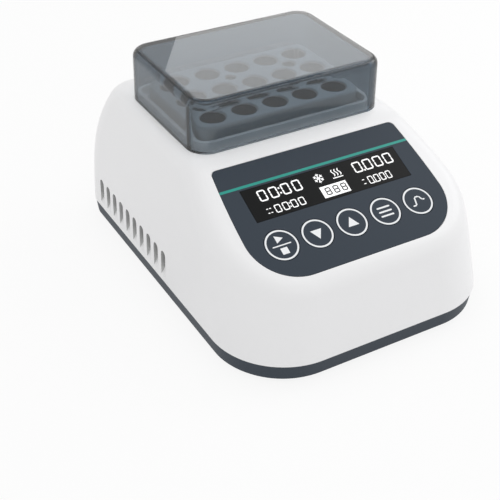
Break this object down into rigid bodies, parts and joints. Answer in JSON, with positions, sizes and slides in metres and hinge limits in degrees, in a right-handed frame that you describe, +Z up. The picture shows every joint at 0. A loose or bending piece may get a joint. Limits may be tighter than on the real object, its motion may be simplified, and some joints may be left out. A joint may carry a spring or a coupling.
{
  "type": "dry bath incubator",
  "caption": "Bench dry bath incubator: white housing with a sloped key panel, an aluminium block of tube wells under a clear lift-off lid, and a dark base on rubber feet.",
  "frame": {"origin": "centre of the footprint at bench level, under the rubber feet", "axes": "+X is the width, to the right seen from the key panel; +Y points from the panel to the back; +Z is up"},
  "size_m": [0.1228, 0.1628, 0.089],
  "materials": {
    "white_housing": "satin gloss",
    "dark_base": "fine texture",
    "foot_rubber": "matte",
    "steel_screw": "plain",
    "panel_slate": "satin film",
    "teal_stripe": "satin",
    "display_dark": "gloss",
    "black_plastic": "matte",
    "circuit_board": "satin",
    "clear_lid": "clear",
    "anodised_aluminium": "anodised",
    "bare_aluminium": "machined",
    "silicone_gasket": "matte",
    "foam_collar": "closed-cell foam",
    "ceramic_white": "ceramic",
    "capacitor_sleeve": "satin",
    "rocker_black": "satin gloss",
    "key_slate": "satin film"
  },
  "bodies": {
    "housing": {"upper_housing": "white_housing", "base_tray": "dark_base", "rubber_feet": "foot_rubber", "housing_screws": "steel_screw", "panel_overlay": "panel_slate", "accent_stripe": "teal_stripe", "display_window": "display_dark", "display_module": "black_plastic", "panel_board": "circuit_board", "key_switches": "black_plastic", "panel_screws": "steel_screw", "deck_gasket": "silicone_gasket", "insulation_collar": "foam_collar", "heat_spreader": "bare_aluminium", "temperature_sensor": "steel_screw", "spreader_screws": "steel_screw", "peltier_modules": "ceramic_white", "heatsink": "bare_aluminium", "heatsink_screws": "steel_screw", "fan_frame": "black_plastic", "fan_screws": "steel_screw", "main_board": "circuit_board", "capacitors": "capacitor_sleeve", "board_screws": "steel_screw", "power_inlet": "black_plastic", "rocker_frame": "black_plastic"},
    "lid": {"lid": "clear_lid"},
    "block": {"tube_block": "anodised_aluminium", "block_screws": "steel_screw"},
    "fan_rotor": {"fan_rotor": "black_plastic"},
    "power_rocker": {"power_rocker": "rocker_black"},
    "start_stop_key": {"start_stop_key": "key_slate"},
    "down_key": {"down_key": "key_slate"},
    "up_key": {"up_key": "key_slate"},
    "menu_key": {"menu_key": "key_slate"},
    "program_key": {"program_key": "key_slate"}
  },
  "joints": [
    {"name": "lid_lift", "type": "slide", "parent": "housing", "child": "lid", "axis": [0, 0, 1], "range_m": [0, 0.1]},
    {"name": "block_lift", "type": "slide", "parent": "housing", "child": "block", "axis": [0, 0, 1], "range_m": [0, 0.05]},
    {"name": "fan_spin", "type": "hinge", "parent": "housing", "child": "fan_rotor", "pos_m": [0, 0.0249, 0.011], "axis": [0, 0, 1], "continuous": true},
    {"name": "power_rocker_tilt", "type": "hinge", "parent": "housing", "child": "power_rocker", "pos_m": [-0.02, 0.0762, 0.0255], "axis": [1, 0, 0], "range_deg": [0, 18]},
    {"name": "start_stop_key_press", "type": "slide", "parent": "housing", "child": "start_stop_key", "axis": [0, 0.4099, -0.9121], "range_m": [0, 0.0006], "stiffness_N_per_m": 2500},
    {"name": "down_key_press", "type": "slide", "parent": "housing", "child": "down_key", "axis": [0, 0.4099, -0.9121], "range_m": [0, 0.0006], "stiffness_N_per_m": 2500},
    {"name": "up_key_press", "type": "slide", "parent": "housing", "child": "up_key", "axis": [0, 0.4099, -0.9121], "range_m": [0, 0.0006], "stiffness_N_per_m": 2500},
    {"name": "menu_key_press", "type": "slide", "parent": "housing", "child": "menu_key", "axis": [0, 0.4099, -0.9121], "range_m": [0, 0.0006], "stiffness_N_per_m": 2500},
    {"name": "program_key_press", "type": "slide", "parent": "housing", "child": "program_key", "axis": [0, 0.4099, -0.9121], "range_m": [0, 0.0006], "stiffness_N_per_m": 2500}
  ],
  "couplings": [
    {"joint": "block_lift", "follows": "lid_lift", "ratio": 0.5}
  ]
}
